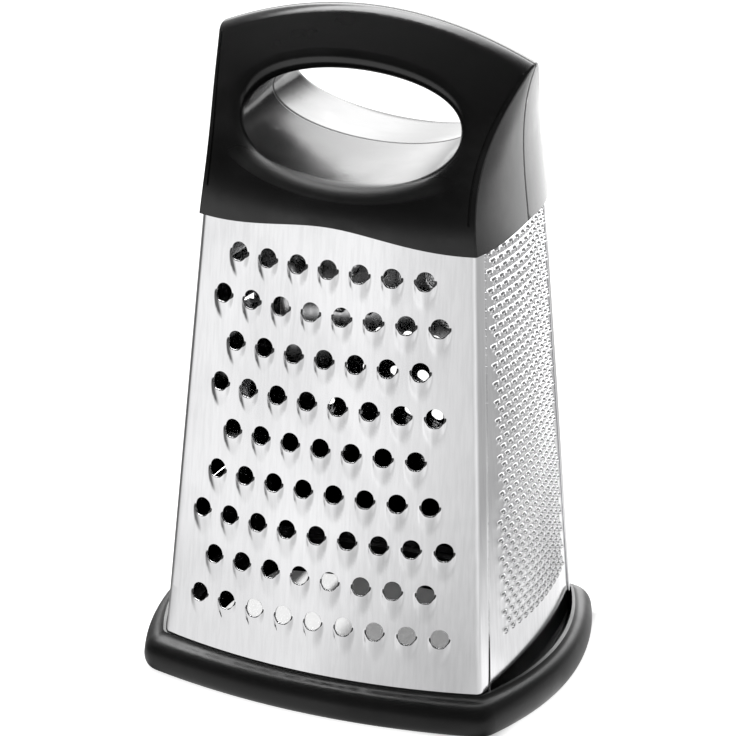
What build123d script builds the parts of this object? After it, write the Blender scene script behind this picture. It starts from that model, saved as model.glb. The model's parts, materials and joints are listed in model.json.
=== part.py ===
from build123d import *
import math
import os

# A four-sided box grater. Millimetres, +Z up. The coarse face looks towards -Y, the fine face towards +X.
# The origin is on the table, under the middle of the foot ring.

# Whole object
overall_height = 230.0

# Steel body: its bowed outline at the lower edge and at the upper edge, outside the sheet
steel_foot_z = 4.0
steel_top_z = 174.0
foot_half_width = 57.7
foot_half_depth = 44.5
foot_wide_bow = 8.6
foot_narrow_bow = 6.6
top_half_width = 46.6
top_half_depth = 31.4
top_wide_bow = 5.9
top_narrow_bow = 5.35
sheet_thickness = 0.5
bend_radius = 3.0
lap_clearance = 0.05
flange_width = 5.6

# Scooped holes of the coarse panel
coarse_hole_diameter = 6.3
coarse_pitch = 10.8
coarse_row_pitch = 15.15
coarse_top_row_z = 153.2
coarse_row_counts = (7, 8, 7, 8, 7, 8, 9, 8, 9)

# Scooped holes of the medium panel
medium_hole_diameter = 4.8
medium_pitch = 10.0
medium_row_pitch = 14.4
medium_top_row_z = 154.0
medium_edge_margin = 13.0

# A scoop's form, as shares of its hole's radius, and the tilt of its mouth
scoop_length_share = 3.15
scoop_sink_share = 0.25
scoop_start_share = 0.97
scoop_nose_share = 0.4
scoop_lip_share = 0.1
mouth_tilt = 22.0

# Punched teeth of the fine panel
tooth_base_side = 2.4
tooth_tip_side = 1.5
tooth_hole_inner_side = 1.7
tooth_hole_outer_side = 1.0
tooth_height = 0.9
tooth_pitch = 4.5
tooth_row_pitch = 4.8
tooth_top_row_z = 161.0
tooth_low_row_z = 28.0
tooth_flange_gap = 0.3
tooth_field_draw = 6.9

# Slicing slots of the left panel
slot_count = 4
slot_top_z = 142.0
slot_pitch = 31.0
slot_ramp_length = 9.0
slot_lip_height = 2.2
slot_gap = 2.6
slot_length_share = 0.62

# Tabs that the wide panels fold inwards at the top, for the handle screws
tab_half_width = 37.0
tab_depth = 9.0

# Handle: skirt edge, its depth and length, and how far its forms curve
skirt_z = 162.7
skirt_wide_arch = 4.8
skirt_narrow_arch = 1.8
handle_half_depth = 39.4
handle_depth_bow = 8.6
handle_flare = 0.45
handle_half_length = 55.0
crown_drop = 12.5
ridge_half_depth = 4.5
ridge_end_half_depth = 5.6
side_skirt_x = 54.0
side_waist_x = 51.0
side_corner_x = 54.6
side_radius = 100.0
handle_wall = 2.4
handle_edge_radius = 1.0
skirt_clearance = 0.15
parting_gap = 0.12

# Heights on the handle's outline as shares of skirt edge to crown, depths as shares of the skirt's depth
shoulder_height_share = 0.079
cheek_height_share = 0.544
cheek_depth_share = 0.731
cheek_end_depth_share = 0.773
ridge_rise_share = 0.414
skirt_lean_share = 0.075

# Heights on the handle's side outline as shares of skirt edge to crown
side_low_height_share = 0.227
side_waist_height_share = 0.48
side_ear_height_share = 0.681
side_corner_height_share = 0.811
side_low_x_share = 0.33
side_ear_x_share = 0.33

# Line groove beside the handle's long edges
groove_inset = 1.3
groove_width = 0.7
groove_depth = 0.5
groove_start_rise = 10.0

# Grip opening: its ellipse at the parting plane and how far it has flared at the flare depth
grip_z = 198.0
grip_half_length = 36.5
grip_half_height = 13.5
grip_flare_depth = 40.0
grip_flare_length = 1.5
grip_flare_drop = 5.0
grip_rim_radius = 4.5
grip_wall = 4.6

# Posts that key the two handle halves together
post_diameter = 5.6
peg_diameter = 3.2
peg_length = 5.0
peg_clearance = 0.05
side_post_x = 44.8
side_post_z = 197.0
top_post_z = 222.6

# Handle screws, up through the insert and the tabs into bosses of the shells
screw_diameter = 3.0
screw_head_diameter = 5.6
screw_head_height = 2.0
screw_length = 13.0
screw_clearance = 0.2
screw_x = 30.0
screw_y = 27.0
boss_diameter = 7.0
boss_height = 18.0

# Closing insert inside the steel's top
insert_clearance = 0.2
insert_plate = 2.5
insert_rim_height = 9.0
insert_rim_wall = 1.8
insert_corner_radius = 2.0

# Rivets through the flanges and the narrow panels, under the skirt
rivet_shank_diameter = 1.2
rivet_head_diameter = 2.4
rivet_head_height = 0.35
rivet_tail_height = 0.5
rivet_seat_gap = 0.02
rivet_drop = 4.4
rivet_from_corner = 4.3

# Foot ring: reach beyond the steel's corners at its widest, and its own bows
ring_height = 13.2
ring_reach_x = 5.2
ring_reach_y = 6.6
ring_wide_bow = 8.6
ring_narrow_bow = 11.5
ring_corner_radius = 8.0
crest_reach = 0.6
crest_narrow_bow = 10.9
crest_corner_radius = 4.0
lip_thickness = 1.3
channel_depth = 7.0
ring_floor = 4.0
ring_floor_reach = 8.0
ring_opening_radius = 4.0

# The foot ring's bulge: heights as shares of its height, and how much of the reach is left there
ring_bulge_height_shares = (0.0, 0.03, 0.1, 0.22, 0.42, 0.65, 0.86, 1.0)
ring_bulge_reach_shares = (0.36, 0.62, 0.82, 0.95, 1.0, 0.88, 0.52, 0.0)

# Stiff frame inside the steel's lower edge, and its screws from below
frame_height = 8.0
frame_wall = 3.6
frame_clearance = 0.2
frame_corner_radius = 2.0
foot_screw_diameter = 2.5
foot_screw_head_diameter = 4.6
foot_screw_head_height = 1.6
foot_screw_length = 8.0
foot_screw_recess = 2.2
foot_screw_x = 34.0

# How far cutting tools run past what they cut
overrun = 2.0

os.makedirs("parts", exist_ok=True)


def mix(low, high, share):
    """The value a share of the way from low to high."""
    return low + (high - low) * share


def block(low, high):
    """A box between two corners."""
    size = [high[i] - low[i] for i in range(3)]
    return Pos(*[(low[i] + high[i]) / 2 for i in range(3)]) * Box(*size)


def upright(radius, height):
    """A round bar that stands on the origin."""
    return Cylinder(radius, height, align=(Align.CENTER, Align.CENTER, Align.MIN))


def bowed_outline(half_width, half_depth, wide_bow, narrow_bow, radius, z):
    """A rectangle whose four sides bow outwards, with rounded corners, as a face at height z."""
    corners = [
        (-half_width, -half_depth),
        (half_width, -half_depth),
        (half_width, half_depth),
        (-half_width, half_depth),
    ]
    crests = [
        (0, -half_depth - wide_bow),
        (half_width + narrow_bow, 0),
        (0, half_depth + wide_bow),
        (-half_width - narrow_bow, 0),
    ]
    sides = [ThreePointArc(corners[i], crests[i], corners[(i + 1) % 4]) for i in range(4)]
    face = make_face(sides)
    return Pos(0, 0, z) * fillet(face.vertices(), radius)


def steel_section(z):
    """Half width, half depth, wide bow and narrow bow of the steel's outside at height z."""
    share = (z - steel_foot_z) / (steel_top_z - steel_foot_z)
    return (
        mix(foot_half_width, top_half_width, share),
        mix(foot_half_depth, top_half_depth, share),
        mix(foot_wide_bow, top_wide_bow, share),
        mix(foot_narrow_bow, top_narrow_bow, share),
    )


def face_sizes(narrow):
    """A face's half chord, distance from the middle at its corners and bow, at the foot and at the top."""
    if narrow:
        foot = (foot_half_depth, foot_half_width, foot_narrow_bow)
        return foot, (top_half_depth, top_half_width, top_narrow_bow)
    return (foot_half_width, foot_half_depth, foot_wide_bow), (top_half_width, top_half_depth, top_wide_bow)


def face_axis(narrow):
    """A face is part of a cone, upright for the wide faces. The narrow ones tilt, so that their bow is right
    at the foot and at the top. Seen along the face, the cone's axis starts at (outwards, up) and tilts
    outwards; then come its radius there and its half angle."""
    (foot_chord, foot_away, foot_bow), (top_chord, top_away, top_bow) = face_sizes(narrow)
    foot_curve = (foot_chord**2 + foot_bow**2) / (2 * foot_bow)
    top_curve = (top_chord**2 + top_bow**2) / (2 * top_bow)
    rise = steel_top_z - steel_foot_z
    lean = math.atan((foot_away + foot_bow - top_away - top_bow) / rise)
    half_angle = math.atan((foot_curve - top_curve) / rise) if narrow else lean
    tilt = half_angle - lean
    radius = foot_curve * math.cos(half_angle) / math.cos(lean)
    out = foot_away + foot_bow - radius * math.cos(tilt)
    return out, steel_foot_z + radius * math.sin(tilt), tilt, radius, half_angle


def face_cone(narrow, low_inset, high_inset, low, high):
    """The front face's cone, solid and longer than the steel, or a narrow face's in that place. Its surface
    is moved inwards by one inset at the low height and by another at the high one."""
    axis_out, axis_z, tilt, _, half_angle = face_axis(narrow)
    (_, foot_away, foot_bow), (_, top_away, top_bow) = face_sizes(narrow)
    lean = half_angle - tilt
    ends = []
    for z, inset in ((low, low_inset), (high, high_inset)):
        share = (z - steel_foot_z) / (steel_top_z - steel_foot_z)
        out = mix(foot_away + foot_bow, top_away + top_bow, share) - inset * math.cos(lean) - axis_out
        up = z - inset * math.sin(lean) - axis_z
        station = out * math.sin(tilt) + up * math.cos(tilt)
        ends.append((station, out * math.cos(tilt) - up * math.sin(tilt)))
    (start, start_radius), (stop, stop_radius) = ends
    taper = (stop_radius - start_radius) / (stop - start)
    longer = foot_half_width
    cone = Cone(start_radius - taper * longer, stop_radius + taper * longer, stop - start + 2 * longer)
    middle = (start + stop) / 2
    place = Pos(0, -axis_out - middle * math.sin(tilt), axis_z + middle * math.cos(tilt))
    return place * Rot(math.degrees(tilt), 0, 0) * cone


def steel_form(inset_x, inset_y, radius, low, high):
    """The tapered block inside the steel's four conical faces, moved inwards, between two heights."""
    reach = foot_half_width + foot_narrow_bow + ring_reach_x
    form = block((-reach, -reach, low), (reach, reach, high))
    for turn in (0, 90, 180, 270):
        narrow = turn % 180 == 90
        inset = inset_x if narrow else inset_y
        form = form & Rot(0, 0, turn) * face_cone(narrow, inset, inset, low, high)
    corners = [edge for edge in form.edges() if edge.bounding_box().size.Z > (high - low) / 2]
    return fillet(corners, radius)


def depth_window(shrink, low, high):
    """A tapered slab across the whole width that follows the steel's depth less a margin."""
    reach = foot_half_width + foot_narrow_bow + ring_reach_x
    faces = []
    for z in (low, high):
        half_depth = steel_section(z)[1] - shrink
        faces.append(Pos(0, 0, z) * Rectangle(2 * reach, 2 * half_depth))
    return loft(faces, ruled=True)


def face_place(turn, along, z, inset):
    """A place on a panel: turn 0 is the front, 90 the right, 180 the rear, 270 the left. Along the axis and
    away from it are linear in the distance outwards, which a square equation gives."""
    axis_out, axis_z, tilt, radius, half_angle = face_axis(turn % 180 == 90)
    sin, cos, taper = math.sin(tilt), math.cos(tilt), math.tan(half_angle)
    station = (z - axis_z) * cos - axis_out * sin
    away = -(z - axis_z) * sin - axis_out * cos
    reach = radius - inset / math.cos(half_angle) - taper * station
    square = cos**2 - (taper * sin) ** 2
    linear = away * cos + reach * taper * sin
    rest = away**2 + along**2 - reach**2
    out = (math.sqrt(linear**2 - square * rest) - linear) / square
    away += out * cos
    reach -= out * taper * sin
    outwards = away * cos + reach * taper * sin
    place = Plane(
        origin=(along, -out, z),
        x_dir=(outwards, along, 0),
        z_dir=(along, -outwards, reach * taper * cos - away * sin),
    )
    return Rot(0, 0, turn) * place.location


def round_nosed(length, radius, nose, sink):
    """A tapered, round-nosed body that points down the sheet, its middle line sunk below the surface."""
    outline = make_face(
        [
            Line((0, 0), (radius, 0)),
            Line((radius, 0), (nose, nose - length)),
            CenterArc((0, nose - length), nose, 270, 90),
            Line((0, -length), (0, 0)),
        ]
    )
    return Pos(0, 0, -sink) * Rot(0, 90, 0) * revolve(outline, Axis.Y)


def scoop_tools(hole_diameter):
    """A solid bump to raise on the sheet, and what then hollows it and opens its mouth, for one hole."""
    radius = hole_diameter / 2
    length = radius * scoop_length_share
    sink = radius * scoop_sink_share
    size = 2 * (length + hole_diameter)
    nose = radius * scoop_nose_share
    inner = round_nosed(length - sheet_thickness, radius * scoop_start_share, nose, sink)
    outer = round_nosed(length, radius + sheet_thickness, nose + sheet_thickness / 2, sink)
    mouth = Pos(0, radius * scoop_lip_share, 0) * Rot(-mouth_tilt, 0, 0) * block(
        (-size, -size, 0), (size, size, size)
    )
    below = block((-size, -size, -size), (size, size, -sheet_thickness / 2))
    hole = Rot(0, 0, 90) * Cylinder(radius, 2 * hole_diameter)
    return outer - mouth - below, hole + inner


def frustum(low_side, high_side, low, high):
    """A square pyramid cut short, standing on its corner direction, between two heights."""
    turned = Rot(0, 0, 45)
    low_face = Pos(0, 0, low) * turned * Rectangle(low_side, low_side)
    high_face = Pos(0, 0, high) * turned * Rectangle(high_side, high_side)
    return loft([low_face, high_face], ruled=True)


def slot_region(z, inset, half_length):
    """The space under a slicing lip: it grows outwards from the ramp's foot to the lip."""
    low = z - slot_ramp_length
    ramp = Rot(0, 0, 270) * face_cone(True, inset, inset - slot_lip_height, low, z)
    reach = foot_half_width + foot_narrow_bow + slot_lip_height + overrun
    return ramp & block((-reach, -half_length, low - overrun), (0, half_length, z))


def wide_wall():
    """The closed tube of sheet from which the two wide panels are taken."""
    low, high = steel_foot_z, steel_top_z
    inside_radius = bend_radius - sheet_thickness
    outside = steel_form(0, 0, bend_radius, low, high)
    inside = steel_form(sheet_thickness, sheet_thickness, inside_radius, low - overrun, high + overrun)
    return outside - inside - depth_window(flange_width, low - overrun, high + overrun)


def narrow_wall():
    """The sheet of the two narrow panels, one thickness inside the flanges."""
    low, high = steel_foot_z, steel_top_z
    outer_inset = sheet_thickness + lap_clearance
    inner_inset = outer_inset + sheet_thickness
    outside = steel_form(outer_inset, outer_inset, bend_radius - sheet_thickness, low, high)
    inside = steel_form(inner_inset, inner_inset, bend_radius / 2, low - overrun, high + overrun)
    window = depth_window(bend_radius + lap_clearance, low - overrun, high + overrun)
    return (outside - inside) & window


def screw_places():
    """The four handle screw axes."""
    return [(x, y) for x in (-screw_x, screw_x) for y in (-screw_y, screw_y)]


def top_tab(side):
    """The tab folded inwards at the top of a wide panel, side -1 for the front."""
    inner_y = top_half_depth - tab_depth
    outer_y = foot_half_depth + foot_wide_bow
    under = steel_top_z - sheet_thickness
    strip = block((-tab_half_width, inner_y, under), (tab_half_width, outer_y, steel_top_z))
    if side < 0:
        strip = mirror(strip, Plane.XZ)
    edge = sheet_thickness / 2
    return strip & steel_form(edge, edge, bend_radius - edge, steel_top_z - insert_rim_height, steel_top_z)


def wide_panel(side, row_list, hole_diameter, turn):
    """A wide panel with its scooped holes: rows are (height, count, pitch)."""
    reach = foot_half_width + foot_half_depth + foot_wide_bow
    half = block((-reach, 0, 0), (reach, reach, overall_height))
    if side < 0:
        half = mirror(half, Plane.XZ)
    panel = (wide_wall() & half) + top_tab(side)
    bump, cut = scoop_tools(hole_diameter)
    places = []
    for z, count, pitch in row_list:
        for i in range(count):
            places.append(face_place(turn, (i - (count - 1) / 2) * pitch, z, 0))
    panel = panel + [place * bump for place in places]
    panel = panel - [place * cut for place in places]
    drill = Cylinder(screw_diameter / 2 + screw_clearance, 2 * tab_depth)
    return panel - [Pos(x, y, steel_top_z) * drill for x, y in screw_places()] - rivet_holes()


def rivet_places():
    """The four rivet axes on the narrow faces, as places whose Z points out of the sheet."""
    z = steel_top_z - rivet_drop
    along = steel_section(z)[1] - rivet_from_corner
    return [face_place(turn, side * along, z, 0) for turn in (90, 270) for side in (-1, 1)]


def rivet_holes():
    """The holes that the rivets' shanks fill, through flange and narrow panel."""
    return [place * Cylinder(rivet_shank_diameter / 2, 2 * overrun) for place in rivet_places()]


def coarse_grater_panel():
    """The front panel."""
    rows = [
        (coarse_top_row_z - i * coarse_row_pitch, count, coarse_pitch)
        for i, count in enumerate(coarse_row_counts)
    ]
    return wide_panel(-1, rows, coarse_hole_diameter, 0)


def medium_grater_panel():
    """The rear panel: each row holds as many holes as its width takes, staggered row by row."""
    rows = []
    z = medium_top_row_z
    while z > ring_height + medium_hole_diameter * scoop_length_share:
        room = 2 * (steel_section(z)[0] - medium_edge_margin)
        count = int(room / medium_pitch)
        if (count + len(rows)) % 2:
            count -= 1
        rows.append((z, count, medium_pitch))
        z -= medium_row_pitch
    return wide_panel(1, rows, medium_hole_diameter, 180)


def fine_grater_panel():
    """The right panel: a tooth is a small raised pyramid with a square hole through it."""
    reach = foot_half_width + foot_narrow_bow + foot_half_depth
    panel = narrow_wall() & block((0, -reach, 0), (reach, reach, overall_height))
    tooth = frustum(tooth_base_side, tooth_tip_side, -sheet_thickness / 2, tooth_height)
    run = tooth_height + sheet_thickness / 2
    hole = frustum(tooth_hole_inner_side, tooth_hole_outer_side, -run, run)
    row_count = int((tooth_top_row_z - tooth_low_row_z) / tooth_row_pitch) + 1
    inset = sheet_thickness + lap_clearance
    top_margin = flange_width + tooth_base_side * math.sqrt(1 / 2) + tooth_flange_gap
    places = []
    for row in range(row_count):
        z = tooth_top_row_z - row * tooth_row_pitch
        margin = top_margin + tooth_field_draw * row / (row_count - 1)
        room = 2 * (steel_section(z)[1] - margin)
        count = int(room / tooth_pitch) + 1
        if (count + row) % 2:
            count -= 1
        for i in range(count):
            places.append(face_place(90, (i - (count - 1) / 2) * tooth_pitch, z, inset))
    panel = panel + [place * tooth for place in places]
    return panel - [place * hole for place in places] - rivet_holes()


def slicing_panel():
    """The left panel: each slot has a ramp that rises outwards to a lip, with closed ends."""
    reach = foot_half_width + foot_narrow_bow + foot_half_depth
    panel = narrow_wall() & block((-reach, -reach, 0), (0, reach, overall_height))
    inset = sheet_thickness + lap_clearance
    for i in range(slot_count):
        z = slot_top_z - i * slot_pitch
        half_length = steel_section(z)[1] * slot_length_share
        lip = slot_region(z, inset, half_length)
        gap_half = half_length - sheet_thickness
        under = slot_region(z, inset + sheet_thickness, gap_half)
        gap = block((-reach, -gap_half, z), (0, gap_half, z + slot_gap))
        mid_sheet = inset + sheet_thickness / 2
        inside = steel_form(
            mid_sheet, mid_sheet, bend_radius / 2, z - slot_ramp_length - 2 * overrun, z + overrun
        )
        panel = panel - under - gap + (lip - under - inside)
    return panel - rivet_holes()


def handle_section(x, inset):
    """The handle's closed outline across its depth, at a distance x from the middle."""
    share = (x / handle_half_length) ** 2
    crown = overall_height - crown_drop * share - inset
    rise = overall_height - crown_drop * share - skirt_z
    depth = handle_half_depth - handle_depth_bow * share
    end_depth = handle_half_depth - handle_depth_bow
    cheek = mix(cheek_depth_share * handle_half_depth, cheek_end_depth_share * end_depth, share)
    ridge = mix(ridge_half_depth, ridge_end_half_depth, share)
    ridge_z = crown - ridge * ridge_rise_share
    foot_z = skirt_z - overrun
    points = [
        (x, -(depth + handle_flare - inset), foot_z),
        (x, -(depth - inset), skirt_z + rise * shoulder_height_share),
        (x, -(cheek - inset), skirt_z + rise * cheek_height_share),
        (x, -ridge, ridge_z),
    ]
    front = Spline(points, tangents=[(0, skirt_lean_share, 1), (0, 1, 1)])
    back = Spline(
        [(px, -py, pz) for px, py, pz in reversed(points)],
        tangents=[(0, 1, -1), (0, skirt_lean_share, -1)],
    )
    ridge_arc = ThreePointArc((x, -ridge, ridge_z), (x, 0, crown), (x, ridge, ridge_z))
    floor = Line(back @ 1, front @ 0)
    return make_face([front, ridge_arc, back, floor])


def handle_bar(inset):
    """The handle's long form: sections joined smoothly along its length."""
    end = side_corner_x + overrun
    return loft([handle_section(x, inset) for x in (-end, 0, end)])


def handle_side(inset):
    """The turned form whose waisted wall is the handle's right side."""
    rise = overall_height - skirt_z
    centre_x = side_waist_x - side_radius
    low_x = mix(side_waist_x, side_skirt_x, side_low_x_share)
    ear_x = mix(side_waist_x, side_corner_x, side_ear_x_share)
    wall = [
        (side_skirt_x - centre_x - inset, skirt_z - overrun),
        (low_x - centre_x - inset, skirt_z + rise * side_low_height_share),
        (side_waist_x - centre_x - inset, skirt_z + rise * side_waist_height_share),
        (ear_x - centre_x - inset, skirt_z + rise * side_ear_height_share),
        (side_corner_x - centre_x - inset, skirt_z + rise * side_corner_height_share),
    ]
    top_x = side_corner_x - centre_x + crown_drop
    top_z = overall_height + overrun
    curve = Spline([(px, 0, pz) for px, pz in wall])
    outline = make_face(
        [
            curve,
            Line(curve @ 1, (top_x, 0, top_z)),
            Line((top_x, 0, top_z), (0, 0, top_z)),
            Line((0, 0, top_z), (0, 0, skirt_z - overrun)),
            Line((0, 0, skirt_z - overrun), curve @ 0),
        ]
    )
    return Pos(centre_x, 0, 0) * revolve(outline, Axis.Z)


def handle_form(inset):
    """The handle's outside, moved inwards."""
    side = handle_side(inset)
    return handle_bar(inset) & side & mirror(side, Plane.YZ)


def skirt_cutters():
    """What is cut away below the skirt's arched edge, across and along the handle."""
    floor = skirt_z - skirt_wide_arch - 2 * overrun
    reach = handle_half_length + overrun
    width = foot_half_width + foot_wide_bow

    def arch(half, rise):
        curve = Spline([(-half, skirt_z), (0, skirt_z + rise), (half, skirt_z)], tangents=[(1, 0), (1, 0)])
        return make_face(
            [
                Line((-half, floor), (-half, skirt_z)),
                curve,
                Line((half, skirt_z), (half, floor)),
                Line((half, floor), (-half, floor)),
            ]
        )

    half_depth = handle_half_depth - handle_depth_bow
    wide = extrude(Plane.XZ * arch(top_half_width, skirt_wide_arch), width, both=True)
    narrow = extrude(Plane.YZ * arch(half_depth, skirt_narrow_arch), reach, both=True)
    rest = block((-reach, -width, floor), (reach, width, skirt_z))
    return wide, narrow, rest


def grip_tunnel(grow):
    """Half of the grip opening, flaring from the parting plane towards the front."""
    faces = []
    reach = handle_half_depth + 2 * overrun
    for y in (overrun, -reach):
        share = abs(y) / grip_flare_depth
        drop = grip_flare_drop * share / 2
        ellipse = Ellipse(
            grip_half_length + grip_flare_length * share + grow,
            grip_half_height + drop + grow,
        )
        faces.append(Plane((0, y, grip_z - drop), x_dir=(1, 0, 0), z_dir=(0, -1, 0)) * ellipse)
    return loft(faces, ruled=True)


def post_places():
    """Where posts key the halves together, as (x, z)."""
    return [(-side_post_x, side_post_z), (side_post_x, side_post_z), (0, top_post_z)]


def rod(x, z, diameter, near, far):
    """A round bar along Y between two depths."""
    middle = (near + far) / 2
    return Pos(x, middle, z) * Rot(90, 0, 0) * Cylinder(diameter / 2, abs(far - near))


def handle_half():
    """The front half of the handle as a hollow shell, without its pegs or sockets."""
    deep = handle_half_depth + 2 * overrun
    long = side_corner_x + 2 * overrun
    front = block((-long, -deep, skirt_z - 2 * overrun), (long, -parting_gap / 2, overall_height + overrun))
    solid = handle_form(0) & front
    tunnel = grip_tunnel(0)
    solid = solid - tunnel
    rim_z = (grip_z - grip_half_height - grip_flare_drop - overrun, grip_z + grip_half_height + overrun)
    rim = [
        edge
        for edge in solid.edges()
        if abs(edge.center().X) < grip_half_length + overrun
        and edge.bounding_box().max.Y < -ridge_end_half_depth
        and rim_z[0] < edge.center().Z < rim_z[1]
    ]
    solid = fillet(rim, grip_rim_radius)
    long_edges = [
        edge
        for edge in solid.edges()
        if abs(edge.center().X) > grip_half_length + 2 * overrun
        and edge.bounding_box().size.Y > ridge_end_half_depth * 2
        and edge.bounding_box().size.Z > handle_half_depth
    ]
    solid = fillet(long_edges, handle_edge_radius)
    for cutter in skirt_cutters():
        solid = solid - cutter

    groove = handle_side(groove_inset) - handle_side(groove_inset + groove_width)
    groove = groove & block(
        (0, -deep, skirt_z + groove_start_rise), (long, -ridge_end_half_depth, overall_height)
    )
    groove = groove - handle_bar(groove_depth)
    solid = solid - groove - mirror(groove, Plane.YZ)

    steel_room = steel_form(
        -skirt_clearance,
        -skirt_clearance,
        bend_radius,
        skirt_z - 2 * overrun,
        steel_top_z + skirt_clearance,
    )
    hollow = (handle_form(handle_wall) & front) + (steel_room & front)
    keep = grip_tunnel(grip_wall)
    for x, z in post_places():
        keep = keep + rod(x, z, post_diameter, overrun, -deep)
    for x, y in screw_places():
        if y < 0:
            keep = keep + Pos(x, y, steel_top_z) * upright(boss_diameter / 2, boss_height)
    solid = solid - (hollow - keep)
    for x, y in screw_places():
        pilot = upright(screw_diameter / 2, screw_length)
        solid = solid - Pos(x, y, steel_top_z - insert_plate - sheet_thickness) * pilot
    room = Cylinder(rivet_head_diameter / 2 + skirt_clearance, 2 * (rivet_head_height + skirt_clearance))
    return solid - [place * room for place in rivet_places()]


def handle_shells():
    """Both shells: the front one carries the pegs, the rear one the sockets."""
    front = handle_half()
    rear = mirror(front, Plane.XZ)
    for x, z in post_places():
        front = front + rod(x, z, peg_diameter, -overrun, peg_length)
        rear = rear - rod(x, z, peg_diameter + 2 * peg_clearance, -overrun, peg_length + peg_clearance)
    return front, rear


def handle_insert():
    """The closing plate under the tabs, with a rim that turns down inside the steel."""
    inset_x = 2 * sheet_thickness + lap_clearance + insert_clearance
    inset_y = sheet_thickness + insert_clearance
    top = steel_top_z - sheet_thickness
    low = top - insert_rim_height
    body = steel_form(inset_x, inset_y, insert_corner_radius, low, top)
    hollow = steel_form(
        inset_x + insert_rim_wall,
        inset_y + insert_rim_wall,
        insert_corner_radius / 2,
        low - overrun,
        top - insert_plate,
    )
    drill = Cylinder(screw_diameter / 2 + screw_clearance, insert_rim_height)
    holes = [Pos(x, y, top) * drill for x, y in screw_places()]
    room = Cylinder(rivet_head_diameter / 2 + insert_clearance, 2 * overrun)
    return body - hollow - holes - [place * room for place in rivet_places()]


def handle_screws():
    """Pan-headed screws with their heads under the insert's plate."""
    seat = steel_top_z - sheet_thickness - insert_plate
    screws = []
    for x, y in screw_places():
        shank = upright(screw_diameter / 2, screw_length)
        head = Pos(0, 0, -screw_head_height) * upright(screw_head_diameter / 2, screw_head_height)
        screws.append(Pos(x, y, seat) * (shank + head))
    return screws


def corner_rivets():
    """Low-headed rivets through a flange and the narrow panel behind it."""
    grip = 2 * sheet_thickness + lap_clearance + rivet_seat_gap
    rivets = []
    for place in rivet_places():
        shank = Pos(0, 0, -grip) * upright(rivet_shank_diameter / 2, grip)
        head = upright(rivet_head_diameter / 2, rivet_head_height)
        tail = Pos(0, 0, -grip - rivet_tail_height) * upright(rivet_head_diameter / 2, rivet_tail_height)
        rivets.append(place * (shank + head + tail))
    return rivets


def base_ring():
    """The soft ring: a bulged outside, a lip that stands off the narrow faces, a floor under the steel."""
    half_width, half_depth, wide_bow, narrow_bow = steel_section(ring_height)
    outlines = []
    for height, reach in zip(ring_bulge_height_shares, ring_bulge_reach_shares):
        outlines.append(
            bowed_outline(
                half_width + mix(crest_reach, ring_reach_x, reach),
                half_depth + mix(crest_reach, ring_reach_y, reach),
                mix(wide_bow, ring_wide_bow, reach),
                mix(crest_narrow_bow, ring_narrow_bow, reach),
                mix(crest_corner_radius, ring_corner_radius, reach),
                ring_height * height,
            )
        )
    ring = loft(outlines)
    ring = ring - steel_form(0, 0, bend_radius, ring_floor, ring_height + overrun)
    channel_bow = crest_narrow_bow + crest_reach - lip_thickness
    channel_faces = [
        bowed_outline(half_width, half_depth, wide_bow, channel_bow, bend_radius, z)
        for z in (ring_height - channel_depth, ring_height + overrun)
    ]
    ring = ring - loft(channel_faces, ruled=True)
    opening = steel_form(ring_floor_reach, ring_floor_reach, ring_opening_radius, -overrun, ring_height)
    shank = Cylinder(foot_screw_diameter / 2, 2 * ring_height)
    head = Cylinder(foot_screw_head_diameter / 2, 2 * foot_screw_recess)
    return ring - opening - [Pos(x, y, 0) * tool for x, y in foot_screw_places() for tool in (shank, head)]


def foot_screw_places():
    """Six screw places round the foot, in the middle of the frame's wall."""
    z = ring_floor
    inset = sheet_thickness + frame_clearance + frame_wall / 2
    places = []
    for turn in (0, 90, 180, 270):
        narrow = turn % 180 == 90
        step = sheet_thickness + lap_clearance if narrow else 0
        for along in (0,) if narrow else (-foot_screw_x, foot_screw_x):
            place = face_place(turn, along, z, inset + step)
            places.append((place.position.X, place.position.Y))
    return places


def base_frame():
    """The stiff ring inside the steel's lower edge, seated on the soft ring's floor."""
    inset_x = 2 * sheet_thickness + lap_clearance + frame_clearance
    inset_y = sheet_thickness + frame_clearance
    top = ring_floor + frame_height
    body = steel_form(inset_x, inset_y, frame_corner_radius, ring_floor, top)
    hollow = steel_form(
        inset_x + frame_wall,
        inset_y + frame_wall,
        frame_corner_radius / 2,
        ring_floor - overrun,
        top + overrun,
    )
    pilot = upright(foot_screw_diameter / 2, foot_screw_length)
    return body - hollow - [Pos(x, y, foot_screw_recess) * pilot for x, y in foot_screw_places()]


def base_screws():
    """Screws from below, with their heads recessed in the soft ring's floor."""
    screws = []
    for x, y in foot_screw_places():
        shank = upright(foot_screw_diameter / 2, foot_screw_length)
        head = upright(foot_screw_head_diameter / 2, foot_screw_head_height)
        head = Pos(0, 0, -foot_screw_head_height) * head
        screws.append(Pos(x, y, foot_screw_recess) * (shank + head))
    return screws


def save(shape, name):
    """Writes one node: a solid, or a group of separate solids."""
    if isinstance(shape, list):
        shape = Compound(children=shape)
    export_step(shape, f"parts/{name}.step")


front_shell, rear_shell = handle_shells()
nodes = {
    "coarse_grater_panel": coarse_grater_panel(),
    "medium_grater_panel": medium_grater_panel(),
    "fine_grater_panel": fine_grater_panel(),
    "slicing_panel": slicing_panel(),
    "corner_rivets": corner_rivets(),
    "handle_front_shell": front_shell,
    "handle_rear_shell": rear_shell,
    "handle_insert": handle_insert(),
    "handle_screws": handle_screws(),
    "base_ring": base_ring(),
    "base_frame": base_frame(),
    "base_screws": base_screws(),
}
for name, shape in nodes.items():
    save(shape, name)
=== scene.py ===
import json
import math

import bpy
import numpy as np
from mathutils import Matrix, Vector

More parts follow.
